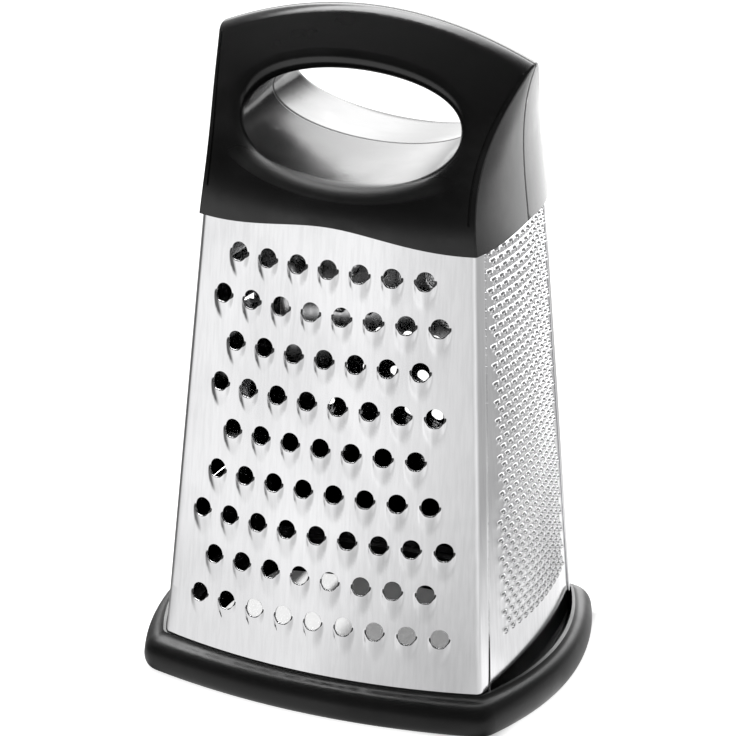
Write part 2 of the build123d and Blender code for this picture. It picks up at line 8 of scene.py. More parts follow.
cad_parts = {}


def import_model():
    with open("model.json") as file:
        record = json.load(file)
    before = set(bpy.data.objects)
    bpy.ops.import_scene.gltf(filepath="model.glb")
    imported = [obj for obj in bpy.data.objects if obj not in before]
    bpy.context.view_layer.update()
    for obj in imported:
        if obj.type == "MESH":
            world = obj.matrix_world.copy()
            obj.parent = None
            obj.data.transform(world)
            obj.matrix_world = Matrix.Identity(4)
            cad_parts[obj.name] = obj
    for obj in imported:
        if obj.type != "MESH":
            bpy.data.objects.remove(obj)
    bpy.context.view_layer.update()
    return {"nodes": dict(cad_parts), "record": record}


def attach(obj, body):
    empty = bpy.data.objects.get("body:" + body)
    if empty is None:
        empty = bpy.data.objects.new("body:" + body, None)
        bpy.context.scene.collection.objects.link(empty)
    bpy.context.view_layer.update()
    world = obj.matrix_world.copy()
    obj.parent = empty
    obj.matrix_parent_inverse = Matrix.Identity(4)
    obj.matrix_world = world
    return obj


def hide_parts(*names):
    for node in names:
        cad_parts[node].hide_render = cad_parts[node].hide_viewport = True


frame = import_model()

# Lengths of the object's pieces are in millimetres, and this turns them into the frame's metres
MM = 0.001

# Camera: the point it looks at and how far off it stands, in metres, its angles, and its lens
CAMERA_AIM = (-0.00202, 0.0, 0.10275)
CAMERA_DISTANCE = 1.2638
CAMERA_AZIMUTH = math.radians(22.422)
CAMERA_ELEVATION = math.radians(23.505)
CAMERA_ROLL = math.radians(0.593)
SENSOR_WIDTH = 36.0
LENS = 184.74

# Walls, as reflections find them: (direction from the left round by the front, level in shares of a scale).
# They are dimmer low down, and at full strength from a height on. Heights are a direction's rise, up to 1.
WALL_LEVELS = (
    (0.0, 0.01), (0.12, 0.01), (0.36, 0.01), (0.5, 0.02), (0.66, 0.04), (0.71, 0.3), (0.745, 1.0), (0.84, 1.0),
    (0.87, 0.15), (1.0, 0.01),
)
WALL_SCALE = 8.0
WALL_LOW_SHARE = 0.3
WALL_FULL_HEIGHT = 0.35

# Soft box overhead, on the left and behind: where it starts, and its level
BOX_X = (-0.15, -0.05)
BOX_Y = (-0.1, 0.0)
BOX_HEIGHT = (0.72, 0.78)
BOX_LEVEL = 14.0

# Faint low strip at the right: where it starts and ends, the heights it fades between, and its level
SIDE_SPAN = (0.4, 0.43, 0.6, 0.66)
SIDE_HEIGHT = (0.12, 0.28)
SIDE_LEVEL = 0.8

# Even light on what doesn't mirror, and the lamp over the object: place, aim, size and power
WORLD_LIGHT = 0.6
LAMP_PLACE = (-0.5, -0.2, 1.7)
LAMP_AIM = (0, 0, 0.12)
LAMP_SIZE = (1.1, 0.8)
LAMP_POWER = 9

# Floor, in metres: half its size, its colour, and what it glows with for the camera
FLOOR_HALF_SIZE = 6.0
FLOOR_COLOUR = (0.8, 0.8, 0.8, 1)
FLOOR_GLOW = 0.85

# Floor, as reflections find it: levels by direction, then its dark far part in front of a line, its bright
# part behind one, and the shares of the level near the object, in front and behind
FLOOR_LEVELS = (
    (0.0, 0.12), (0.04, 0.14), (0.1, 1.05), (0.22, 1.1), (0.28, 0.82), (0.34, 0.74), (0.42, 1.0), (0.47, 0.72),
    (0.51, 0.5), (0.56, 0.48), (0.61, 0.55), (0.75, 0.62), (0.88, 0.5), (1.0, 0.12),
)
FLOOR_DARKENS = (0.95, 1.5)
FLOOR_AHEAD = (-0.3, 0.0)
FLOOR_FAR = 0.1
FLOOR_BEHIND = 2.4
FLOOR_BEHIND_FROM = (0.4, 0.44)
FLOOR_NEAR = (0.1, 0.27)
FLOOR_NEAR_SHARES = (0.86, 2.0)
FLOOR_NEAR_TURN = (-0.06, 0.0)

# Floor inside the foot, as seen through the holes, where its glow is painted light and shade: the foot's half
# sizes and the shares of them where inside turns to outside, the glow at left (painted light) and at right
# (painted shade), and the rear in painted shade with one painted gleam in it
INSIDE_HALF_SIZES = (0.062, 0.05)
INSIDE_ENDS = (0.95, 1.1)
INSIDE_PAINTED_LIGHT_AND_SHADE = (0.8, 0.24)
INSIDE_TURN = (-0.016, -0.008)
INSIDE_REAR = (0.02, 0.032)
INSIDE_PAINTED_REAR_SHADE = 0.04
PAINTED_GLEAM_X = 0.035
PAINTED_GLEAM_SPAN = (0.005, 0.008)

# Steel body, for its wide faces and its narrow faces: half chord, distance and bow at foot and top
FOOT_Z = 4.0
TOP_Z = 174.0
FOOT_CHORD = (57.7, 44.5)
FOOT_AWAY = (44.5, 57.7)
TOP_CHORD = (46.6, 31.4)
TOP_AWAY = (31.4, 46.6)
FOOT_BOW = (8.6, 6.6)
TOP_BOW = (5.9, 5.35)
WIDE, NARROW = 0, 1
SHEET = 0.5
BEND = 3.0
FLANGE = 5.6
LAP = 0.05
NEWTON_STEPS = 6

# Lattice of the sheets: columns round a bend and along a flange, how the rings of a patch crowd to its hole,
# rings round a scoop and round a tooth, rows above and below the scoops, columns kept beyond the scoops, and
# the margin before the bend where columns draw together
BEND_STEPS = 7
FLANGE_STEPS = 3
RING_CROWDING = 1.4
SCOOP_RINGS = 9
TOOTH_RINGS = 3
MARGIN_ROWS = 6
MARGIN_COLUMNS = 3
COLUMN_MARGIN = 2.6

# Coarse scoops of the front panel
COARSE_RADIUS = 3.15
COARSE_PITCH = 10.8
COARSE_ROW_PITCH = 15.15
COARSE_TOP_Z = 153.2
COARSE_COUNTS = (7, 8, 7, 8, 7, 8, 9, 8, 9)
COARSE_ABOVE = 4.2
COARSE_COLUMNS = 10
COARSE_ROWS = 14

# Medium scoops of the rear panel
MEDIUM_RADIUS = 2.4
MEDIUM_PITCH = 10.0
MEDIUM_ROW_PITCH = 14.4
MEDIUM_TOP_Z = 154.0
MEDIUM_MARGIN = 13.0
MEDIUM_ROW_COUNT = 9
MEDIUM_ABOVE = 4.8
MEDIUM_COLUMNS = 8
MEDIUM_ROWS = 12

# A scoop's form, with lengths in shares of its hole's radius. The powers make its two soft minima.
SCOOP_LENGTH = 3.15
SCOOP_WIDTH = 1.19
SCOOP_TAPER = 2.2
SCOOP_RIDGE = 0.72
SCOOP_ROOT = 0.12
MOUTH_SLOPE = 0.95
MOUTH_START = 0.2
LIP_LEVEL = 0.63
LIP_POWER = 10
MOUTH_POWER = 6
RIM_SHARE = 0.945
RIM_DRAW = 0.1

# Materials: the noise levels between which lines, smudges, patches and specks appear, how much of the steel's
# dulling the lines do, the bumps' strengths and depths in metres, and the rubber's shine
LINES_SPAN = (0.35, 0.68)
SMUDGES_SPAN = (0.42, 0.66)
PATCHES_SPAN = (0.4, 0.68)
SPECK_SPAN = (0.05, 0.22)
SPECKS_WHERE_SCALE = 60.0
SPECKS_WHERE_SPAN = (0.5, 0.75)
LINES_SHARE = 0.35
LINES_DEPTH = 0.000006
LINES_STRENGTH = 0.1
GRAIN_STRENGTH = 0.3
PATCHES_SHARE = 0.5
RUBBER_SPECULAR = 0.4

# Line along the handle where its shells meet: half its width, its depth in heights of the grain, and how
# rough it and the grip opening's rim are
PARTING_LINE = 0.42
PARTING_DEPTH = 12.0
PARTED_ROUGHNESS = 0.55

# Grip opening's ellipse at the front, the squares at which its rim ends, and how deep in the rim starts
GRIP_Z = 196.0
GRIP_HALF_LENGTH = 37.5
GRIP_HALF_HEIGHT = 15.5
GRIP_RIM = (1.5, 1.75)
GRIP_RIM_DEPTH = (0.03, 0.034)

# Burred teeth of the fine panel
TOOTH_PITCH = 4.5
TOOTH_ROW_PITCH = 3.2
TOOTH_TOP_Z = 161.0
TOOTH_LOW_Z = 28.0
TOOTH_TOP_MARGIN = 7.6
TOOTH_FIELD_DRAW = 6.9
TOOTH_HEIGHT = 0.9
TOOTH_HOLE = 0.8
TOOTH_BASE_SHARE = 0.86
TOOTH_TOP_ROWS = 4
TOOTH_LOW_ROWS = 8
TOOTH_HALF_COLUMNS = 13
TOOTH_EDGE_COLUMNS = 3


def camera():
    """The photograph's camera: its back axis follows from azimuth and elevation, then it rolls about it."""
    back = Vector(
        (
            math.sin(CAMERA_AZIMUTH) * math.cos(CAMERA_ELEVATION),
            -math.cos(CAMERA_AZIMUTH) * math.cos(CAMERA_ELEVATION),
            math.sin(CAMERA_ELEVATION),
        )
    )
    level = Vector((0, 0, 1)).cross(back).normalized()
    upright = back.cross(level)
    right = level * math.cos(CAMERA_ROLL) + upright * math.sin(CAMERA_ROLL)
    up = upright * math.cos(CAMERA_ROLL) - level * math.sin(CAMERA_ROLL)
    data = bpy.data.cameras.new("camera")
    data.sensor_width = SENSOR_WIDTH
    data.lens = LENS
    data.clip_end = 20
    cam = bpy.data.objects.new("camera", data)
    turn = Matrix((right, up, back)).transposed().to_4x4()
    cam.matrix_world = Matrix.Translation(Vector(CAMERA_AIM) + back * CAMERA_DISTANCE) @ turn
    bpy.context.scene.collection.objects.link(cam)
    bpy.context.scene.camera = cam


def area_lamp(name, place, aim, size, power):
    data = bpy.data.lights.new(name, "AREA")
    data.shape = "RECTANGLE"
    data.size, data.size_y = size
    data.energy = power
    lamp = bpy.data.objects.new(name, data)
    toward = Vector(aim) - Vector(place)
    turn = toward.to_track_quat("-Z", "Y").to_matrix().to_4x4()
    lamp.matrix_world = Matrix.Translation(place) @ turn
    lamp.visible_glossy = False
    bpy.context.scene.collection.objects.link(lamp)


def join(tree, source, target):
    """Links a socket, or sets a plain value."""
    if isinstance(source, bpy.types.NodeSocket):
        tree.links.new(source, target)
    else:
        target.default_value = source


def calc(tree, operation, first, second=0.0):
    node = tree.nodes.new("ShaderNodeMath")
    node.operation = operation
    join(tree, first, node.inputs[0])
    join(tree, second, node.inputs[1])
    return node.outputs[0]


def remap(tree, value, low, high, out_low, out_high):
    """A soft step from one level to another between two values."""
    node = tree.nodes.new("ShaderNodeMapRange")
    node.interpolation_type = "SMOOTHSTEP"
    for socket, source in zip(node.inputs, (value, low, high, out_low, out_high)):
        join(tree, source, socket)
    return node.outputs[0]


def ramp(tree, value, stops):
    """Grey levels at positions, joined by straight lines. The stops are (position, level)."""
    node = tree.nodes.new("ShaderNodeValToRGB")
    elements = node.color_ramp.elements
    elements.remove(elements[1])
    for i, (position, level) in enumerate(stops):
        element = elements[0] if i == 0 else elements.new(position)
        element.position = position
        element.color = (level, level, level, 1)
    join(tree, value, node.inputs[0])
    return node.outputs[0]


def blend(tree, factor, first, second):
    node = tree.nodes.new("ShaderNodeMix")
    node.data_type = "FLOAT"
    for socket, source in zip(node.inputs[:1] + node.inputs[2:4], (factor, first, second)):
        join(tree, source, socket)
    return node.outputs[0]


def parts(tree, vector):
    node = tree.nodes.new("ShaderNodeSeparateXYZ")
    join(tree, vector, node.inputs[0])
    return node.outputs


def around(tree, vector):
    """The direction about the upright axis: 0 at the left, a quarter at the front, a half at the right."""
    node = tree.nodes.new("ShaderNodeTexGradient")
    node.gradient_type = "RADIAL"
    join(tree, vector, node.inputs[0])
    return node.outputs["Fac"]


def world():
    """The studio. It lights evenly and looks white, but reflections find it dark in front and to the left,
    bright behind, with a faint low strip at the right and a soft box overhead."""
    studio = bpy.data.worlds.new("studio")
    bpy.context.scene.world = studio
    studio.use_nodes = True
    tree = studio.node_tree
    tree.nodes.clear()
    direction = tree.nodes.new("ShaderNodeTexCoord").outputs["Generated"]
    x, y, height = parts(tree, direction)
    angle = around(tree, direction)
    level = calc(tree, "MULTIPLY", ramp(tree, angle, WALL_LEVELS), WALL_SCALE)
    level = calc(tree, "MULTIPLY", level, remap(tree, height, 0.0, WALL_FULL_HEIGHT, WALL_LOW_SHARE, 1.0))
    starts = remap(tree, angle, *SIDE_SPAN[:2], 0, 1)
    side = calc(tree, "MULTIPLY", starts, remap(tree, angle, *SIDE_SPAN[2:], 1, 0))
    side = calc(tree, "MULTIPLY", side, remap(tree, height, *SIDE_HEIGHT, SIDE_LEVEL, 0))
    level = calc(tree, "ADD", level, side)
    box = calc(tree, "MULTIPLY", remap(tree, x, *BOX_X, 1.0, 0.0), remap(tree, y, *BOX_Y, 0.0, 1.0))
    box = calc(tree, "MULTIPLY", box, remap(tree, height, *BOX_HEIGHT, 0.0, 1.0))
    level = blend(tree, box, level, BOX_LEVEL)
    path = tree.nodes.new("ShaderNodeLightPath")
    level = blend(tree, path.outputs["Is Glossy Ray"], WORLD_LIGHT, level)
    seen = calc(tree, "MAXIMUM", path.outputs["Is Camera Ray"], path.outputs["Is Transmission Ray"])
    background = tree.nodes.new("ShaderNodeBackground")
    join(tree, blend(tree, seen, level, 1.0), background.inputs["Strength"])
    out = tree.nodes.new("ShaderNodeOutputWorld")
    tree.links.new(background.outputs[0], out.inputs[0])


def mix_shaders(tree, factor, first, second):
    """Shows the first shader node where the factor is 0, and the second where it is 1."""
    mixed = tree.nodes.new("ShaderNodeMixShader")
    for socket, source in zip(mixed.inputs, (factor, first.outputs[0], second.outputs[0])):
        tree.links.new(source, socket)
    return mixed


def floor():
    """A pale floor that takes the object's shadow and glows for the camera, with painted light and shade
    inside the foot. Reflections find it dark inside the foot, a painted shade, by direction round about, dark
    far off in front and bright behind."""
    size = FLOOR_HALF_SIZE
    mesh = bpy.data.meshes.new("floor")
    corners = [(-size, -size, 0), (size, -size, 0), (size, size, 0), (-size, size, 0)]
    mesh.from_pydata(corners, [], [(0, 1, 2, 3)])
    obj = bpy.data.objects.new("floor", mesh)
    bpy.context.scene.collection.objects.link(obj)
    material = bpy.data.materials.new("floor")
    material.use_nodes = True
    tree = material.node_tree
    tree.nodes.clear()
    place = tree.nodes.new("ShaderNodeTexCoord").outputs["Object"]
    x, y, _ = parts(tree, place)
    far = calc(tree, "SQRT", calc(tree, "ADD", calc(tree, "MULTIPLY", x, x), calc(tree, "MULTIPLY", y, y)))
    level = ramp(tree, around(tree, place), FLOOR_LEVELS)
    ahead = remap(tree, y, *FLOOR_AHEAD, 1.0, 0.0)
    ahead = calc(tree, "MULTIPLY", ahead, remap(tree, far, *FLOOR_DARKENS, 0.0, 1.0))
    level = blend(tree, ahead, level, FLOOR_FAR)
    level = blend(tree, remap(tree, y, *FLOOR_BEHIND_FROM, 0, 1), level, FLOOR_BEHIND)
    across = calc(tree, "DIVIDE", calc(tree, "ABSOLUTE", x), INSIDE_HALF_SIZES[0])
    deep = calc(tree, "DIVIDE", calc(tree, "ABSOLUTE", y), INSIDE_HALF_SIZES[1])
    outside = remap(tree, calc(tree, "MAXIMUM", across, deep), *INSIDE_ENDS, 0.0, 1.0)
    near = remap(tree, far, *FLOOR_NEAR, remap(tree, y, *FLOOR_NEAR_TURN, *FLOOR_NEAR_SHARES), 1.0)
    # Inside the foot, reflections find no glow: painted shade
    level = calc(tree, "MULTIPLY", level, calc(tree, "MULTIPLY", near, outside))
    path = tree.nodes.new("ShaderNodeLightPath")
    matte = tree.nodes.new("ShaderNodeBsdfDiffuse")
    matte.inputs["Color"].default_value = FLOOR_COLOUR
    glow = tree.nodes.new("ShaderNodeEmission")
    # Painted light and shade inside the foot, as the camera sees it through the holes: bright at the left,
    # darker at the right, and the rear in painted shade but for one painted gleam
    painted_light_inside = remap(tree, x, *INSIDE_TURN, *INSIDE_PAINTED_LIGHT_AND_SHADE)
    beside = calc(tree, "ABSOLUTE", calc(tree, "ADD", x, PAINTED_GLEAM_X))
    dark = remap(tree, y, *INSIDE_REAR, 0, 1)
    dark = calc(tree, "MULTIPLY", dark, remap(tree, beside, *PAINTED_GLEAM_SPAN, 0, 1))
    painted_light_inside = blend(tree, dark, painted_light_inside, INSIDE_PAINTED_REAR_SHADE)
    join(tree, blend(tree, outside, painted_light_inside, FLOOR_GLOW), glow.inputs["Strength"])
    nothing = tree.nodes.new("ShaderNodeEmission")
    nothing.inputs["Strength"].default_value = 0
    seen = mix_shaders(tree, path.outputs["Is Camera Ray"], nothing, glow)
    both = tree.nodes.new("ShaderNodeAddShader")
    tree.links.new(matte.outputs[0], both.inputs[0])
    tree.links.new(seen.outputs[0], both.inputs[1])
    mirrored = tree.nodes.new("ShaderNodeEmission")
    tree.links.new(level, mirrored.inputs["Strength"])
    pick = mix_shaders(tree, path.outputs["Is Glossy Ray"], both, mirrored)
    out = tree.nodes.new("ShaderNodeOutputMaterial")
    tree.links.new(pick.outputs[0], out.inputs[0])
    mesh.materials.append(material)


def group(name, inputs, outputs):
    """An empty node group with named number sockets, its inputs given with their usual values."""
    tree = bpy.data.node_groups.new(name, "ShaderNodeTree")
    tree.interface.new_socket("Vector", in_out="INPUT", socket_type="NodeSocketVector")
    for socket_name, value in inputs.items():
        socket = tree.interface.new_socket(socket_name, in_out="INPUT", socket_type="NodeSocketFloat")
        socket.default_value = value
    for socket_name in outputs:
        tree.interface.new_socket(socket_name, in_out="OUTPUT", socket_type="NodeSocketFloat")
    return tree, tree.nodes.new("NodeGroupInput").outputs, tree.nodes.new("NodeGroupOutput").inputs


def noise(tree, vector, stretch, scale, detail, roughness=0.5):
    """Noise that runs longer along the axes with a small stretch."""
    mapping = tree.nodes.new("ShaderNodeMapping")
    join(tree, vector, mapping.inputs["Vector"])
    mapping.inputs["Scale"].default_value = stretch
    node = tree.nodes.new("ShaderNodeTexNoise")
    tree.links.new(mapping.outputs[0], node.inputs["Vector"])
    join(tree, scale, node.inputs["Scale"])
    node.inputs["Detail"].default_value = detail
    node.inputs["Roughness"].default_value = roughness
    return node.outputs["Fac"]


def rolled_group():
    """Rolled steel: fine lines that run up the sheet, and the smudges that hands and water leave."""
    scales = {"Line Scale": 900.0, "Smudge Scale": 28.0}
    tree, given, made = group("rolled_sheet", scales, ("Lines", "Smudges"))
    lines = noise(tree, given["Vector"], (1, 1, 0.03), given["Line Scale"], 3)
    join(tree, remap(tree, lines, *LINES_SPAN, 0.0, 1.0), made["Lines"])
    wide = noise(tree, given["Vector"], (1, 1, 0.6), given["Smudge Scale"], 4, 0.6)
    join(tree, remap(tree, wide, *SMUDGES_SPAN, 0.0, 1.0), made["Smudges"])
    return tree


def grain_group():
    """Moulded grain: the texture of the tool, and broad patches where handling has rubbed it smoother."""
    scales = {"Grain Scale": 1500.0, "Patch Scale": 35.0}
    tree, given, made = group("moulded_grain", scales, ("Grain", "Patches"))
    fine = noise(tree, given["Vector"], (1, 1, 1), given["Grain Scale"], 2)
    join(tree, fine, made["Grain"])
    broad = noise(tree, given["Vector"], (1, 1, 1), given["Patch Scale"], 5, 0.6)
    join(tree, remap(tree, broad, *PATCHES_SPAN, 0.0, 1.0), made["Patches"])
    return tree


def dust_group():
    """Specks of dust: small round spots, few and uneven."""
    tree, given, made = group("dust_specks", {"Speck Scale": 420.0, "Amount": 0.3}, ("Specks",))
    spots = tree.nodes.new("ShaderNodeTexVoronoi")
    tree.links.new(given["Vector"], spots.inputs["Vector"])
    tree.links.new(given["Speck Scale"], spots.inputs["Scale"])
    spot = remap(tree, spots.outputs["Distance"], *SPECK_SPAN, 1.0, 0.0)
    where = noise(tree, given["Vector"], (1, 1, 1), SPECKS_WHERE_SCALE, 3)
    chosen = remap(tree, where, *SPECKS_WHERE_SPAN, 0.0, given["Amount"])
    join(tree, calc(tree, "MULTIPLY", spot, chosen), made["Specks"])
    return tree


def use(tree, shared, vector, **values):
    """A shared group in a material, with some of its inputs set. A space in a name is written as _."""
    node = tree.nodes.new("ShaderNodeGroup")
    node.node_tree = shared
    tree.links.new(vector, node.inputs["Vector"])
    for name, value in values.items():
        node.inputs[name.replace("_", " ")].default_value = value
    return node.outputs


def shade(tree, factor, first, second):
    """A colour between two."""
    node = tree.nodes.new("ShaderNodeMix")
    node.data_type = "RGBA"
    join(tree, factor, node.inputs[0])
    node.inputs[6].default_value = (*first, 1)
    node.inputs[7].default_value = (*second, 1)
    return node.outputs[2]


def start_material(name, metallic):
    material = bpy.data.materials.new(name)
    material.use_nodes = True
    tree = material.node_tree
    shader = tree.nodes["Principled BSDF"]
    shader.inputs["Metallic"].default_value = metallic
    return material, tree, shader, tree.nodes.new("ShaderNodeTexCoord").outputs["Object"]


def raise_surface(tree, shader, height, distance, strength):
    bump = tree.nodes.new("ShaderNodeBump")
    bump.inputs["Strength"].default_value = strength
    bump.inputs["Distance"].default_value = distance
    tree.links.new(height, bump.inputs["Height"])
    tree.links.new(bump.outputs[0], shader.inputs["Normal"])


def steel_material(name, clean, smudged, smooth, rough, rolled, **scales):
    """Steel: the smudges and the lines of rolling darken and roughen it a little."""
    material, tree, shader, place = start_material(name, 1.0)
    sheet = use(tree, rolled, place, **scales)
    lines = calc(tree, "MULTIPLY", sheet["Lines"], LINES_SHARE)
    dull = calc(tree, "ADD", lines, calc(tree, "MULTIPLY", sheet["Smudges"], 1 - LINES_SHARE))
    tree.links.new(shade(tree, dull, clean, smudged), shader.inputs["Base Color"])
    join(tree, blend(tree, dull, smooth, rough), shader.inputs["Roughness"])
    raise_surface(tree, shader, sheet["Lines"], LINES_DEPTH, LINES_STRENGTH)
    return material


def parting_line(tree, place):
    """Where the handle's two shells meet: 1 on the line, 0 beside it."""
    across = calc(tree, "ABSOLUTE", parts(tree, place)[1])
    return remap(tree, across, PARTING_LINE * MM, 2 * PARTING_LINE * MM, 1.0, 0.0)


def grip_rim(tree, place):
    """The rounded rim of the grip opening, which fingers rub dull: 1 on it, 0 away from it. It follows the
    opening's ellipse, and keeps clear of the parting plane."""
    x, y, z = parts(tree, place)
    along = calc(tree, "DIVIDE", x, GRIP_HALF_LENGTH * MM)
    up = calc(tree, "DIVIDE", calc(tree, "SUBTRACT", z, GRIP_Z * MM), GRIP_HALF_HEIGHT * MM)
    squares = calc(tree, "ADD", calc(tree, "MULTIPLY", along, along), calc(tree, "MULTIPLY", up, up))
    ring = remap(tree, squares, *GRIP_RIM, 1.0, 0.0)
    return calc(tree, "MULTIPLY", ring, remap(tree, calc(tree, "ABSOLUTE", y), *GRIP_RIM_DEPTH, 0.0, 1.0))


def moulded_material(name, clean, worn, smooth, rough, depth, grain, dust, amount, parted=False, **scales):
    """Black plastic or rubber: grain roughens it, rubbed patches shine more, and dust sits on it. In a parted
    one, the line where two shells meet and the grip opening's rim are dull."""
    material, tree, shader, place = start_material(name, 0.0)
    skin = use(tree, grain, place, **scales)
    specks = use(tree, dust, place, Amount=amount)["Specks"]
    lighter = calc(tree, "MAXIMUM", calc(tree, "MULTIPLY", skin["Patches"], PATCHES_SHARE), specks)
    tree.links.new(shade(tree, lighter, clean, worn), shader.inputs["Base Color"])
    dull = blend(tree, skin["Patches"], rough, smooth)
    height = skin["Grain"]
    if parted:
        line = parting_line(tree, place)
        dull = blend(tree, calc(tree, "MAXIMUM", line, grip_rim(tree, place)), dull, PARTED_ROUGHNESS)
        height = calc(tree, "SUBTRACT", height, calc(tree, "MULTIPLY", line, PARTING_DEPTH))
    join(tree, dull, shader.inputs["Roughness"])
    raise_surface(tree, shader, height, depth, GRAIN_STRENGTH)
    return material


def piece(name, points, faces, material, replaced):
    """A smooth piece from points in millimetres and four-sided faces. It stands for the replaced node."""
    mesh = bpy.data.meshes.new(name)
    used, faces = np.unique(faces, return_inverse=True)
    faces = faces.reshape(-1, 4)
    points = points[used] * MM
    mesh.vertices.add(len(points))
    mesh.vertices.foreach_set("co", points.astype(np.float32).ravel())
    mesh.loops.add(faces.size)
    mesh.loops.foreach_set("vertex_index", faces.astype(np.int32).ravel())
    mesh.polygons.add(len(faces))
    mesh.polygons.foreach_set("loop_start", np.arange(0, faces.size, 4, dtype=np.int32))
    mesh.update(calc_edges=True)
    mesh.validate()
    mesh.shade_smooth()
    mesh.materials.append(material)
    obj = bpy.data.objects.new(name, mesh)
    bpy.context.scene.collection.objects.link(obj)
    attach(obj, "root")
    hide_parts(replaced)
    return obj


def thicken(obj):
    """Gives a steel sheet its gauge, inwards from its outside."""
    solid = obj.modifiers.new("gauge", "SOLIDIFY")
    solid.thickness = SHEET * MM
    solid.offset = -1


def steel_half(side, z):
    """Half the chord of the faces of one kind at height z, which tapers evenly from foot to top."""
    return FOOT_CHORD[side] + (TOP_CHORD[side] - FOOT_CHORD[side]) * (z - FOOT_Z) / (TOP_Z - FOOT_Z)


def cone(side, z):
    """A face's section at height z is an arc: how far its centre stands behind the middle and its radius,
    and how fast both grow upwards. The radius at the foot and at the top follows from half chord c and bow b
    as (c squared + b squared) / 2b. The wide faces' centres stay in place instead, so their bow gives way."""
    foot, top = [
        (chord[side] ** 2 + bow[side] ** 2) / (2 * bow[side])
        for chord, bow in ((FOOT_CHORD, FOOT_BOW), (TOP_CHORD, TOP_BOW))
    ]
    foot_out = FOOT_AWAY[side] + FOOT_BOW[side]
    top_out = TOP_AWAY[side] + TOP_BOW[side]
    if side == WIDE:
        top = foot + top_out - foot_out
    share = (z - FOOT_Z) / (TOP_Z - FOOT_Z)
    radius = foot + (top - foot) * share
    rate = (top - foot) / (TOP_Z - FOOT_Z)
    out_rate = (top_out - foot_out) / (TOP_Z - FOOT_Z)
    return radius - foot_out - (top_out - foot_out) * share, radius, rate - out_rate, rate


def bend_centre(z):
    """Centre of a corner's bend at height z, across and deep: it lies one bend radius inside both cones.
    A few of Newton's steps solve the two circles' equations."""
    wide_back, wide_radius = cone(WIDE, z)[:2]
    narrow_back, narrow_radius = cone(NARROW, z)[:2]
    across, deep = steel_half(WIDE, z) - BEND, steel_half(NARROW, z) - BEND
    for _ in range(NEWTON_STEPS):
        wide_miss = across**2 + (deep + wide_back) ** 2 - (wide_radius - BEND) ** 2
        narrow_miss = (across + narrow_back) ** 2 + deep**2 - (narrow_radius - BEND) ** 2
        wide_a, wide_d = 2 * across, 2 * (deep + wide_back)
        narrow_a, narrow_d = 2 * (across + narrow_back), 2 * deep
        det = wide_a * narrow_d - wide_d * narrow_a
        across = across - (wide_miss * narrow_d - wide_d * narrow_miss) / det
        deep = deep - (wide_a * narrow_miss - wide_miss * narrow_a) / det
    return across, deep


def face_half(z):
    """How far the flat of a wide face reaches from its middle before the bend starts."""
    across, deep = bend_centre(z)
    back, radius = cone(WIDE, z)[:2]
    return radius * across / np.hypot(across, deep + back)


def wide_surface(q, z):
    """Points and normals outside a wide panel: |q| to 1 runs along the face's arc, to 2 round the bend and to
    3 along the flange. Each is an arc: its centre plus its radius along a direction that turns with q."""
    across, deep = bend_centre(z)
    wide_back, wide_radius, wide_back_rate, wide_rate = cone(WIDE, z)
    narrow_back, narrow_radius, narrow_back_rate, narrow_rate = cone(NARROW, z)
    run = np.abs(q)
    first_turn = np.arctan2(across, deep + wide_back)
    last_turn = np.arctan2(across + narrow_back, deep)
    face_turn = np.arcsin(np.clip(run, 0, 1) * np.sin(first_turn))
    round_turn = first_turn + (last_turn - first_turn) * np.clip(run - 1, 0, 1)
    bend_deep = narrow_radius * np.cos(last_turn)
    flange_deep = bend_deep + (steel_half(NARROW, z) - FLANGE - bend_deep) * np.clip(run - 2, 0, 1)
    flange_turn = np.arccos(flange_deep / narrow_radius)
    on_face, on_bend = run <= 1, (run > 1) & (run <= 2)
    pick = lambda face, bend, flange: np.where(on_face, face, np.where(on_bend, bend, flange))
    turn = pick(face_turn, round_turn, flange_turn)
    reach = pick(wide_radius, BEND, narrow_radius)
    out_a = pick(0, across, -narrow_back) + reach * np.sin(turn)
    out_d = pick(-wide_back, deep, 0) + reach * np.cos(turn)
    wide_lean = np.cos(turn) * wide_back_rate - wide_rate
    narrow_lean = np.sin(turn) * narrow_back_rate - narrow_rate
    lean = wide_lean + (narrow_lean - wide_lean) * np.clip(run - 1, 0, 1)
    side = np.where(q < 0, -1.0, 1.0)
    normals = np.stack([side * np.sin(turn), np.cos(turn), lean], -1)
    normals = normals / np.linalg.norm(normals, axis=-1, keepdims=True)
    return np.stack([side * out_a, out_d, z], -1), normals


def narrow_half(z):
    """How far a narrow panel reaches from its middle: up to the start of the wide panel's bend."""
    return steel_half(NARROW, z) - BEND - LAP


def narrow_surface(q, z):
    """Points and normals outside a narrow panel, an arc one sheet and a lap inside the flanges."""
    back, radius, back_rate, rate = cone(NARROW, z)
    radius = radius - SHEET - LAP
    turn = np.arcsin(q * narrow_half(z) / radius)
    normals = np.stack([np.sin(turn), np.cos(turn), np.cos(turn) * back_rate - rate], -1)
    normals = normals / np.linalg.norm(normals, axis=-1, keepdims=True)
    return np.stack([radius * np.sin(turn), radius * np.cos(turn) - back, z], -1), normals


def placed(points, turn):
    """Turns points given as along, outwards and up from the front of the object to one of its other sides."""
    along, out = points[:, 0], points[:, 1]
    cos, sin = math.cos(turn), math.sin(turn)
    return np.stack([along * cos + out * sin, along * sin - out * cos, points[:, 2]], -1)


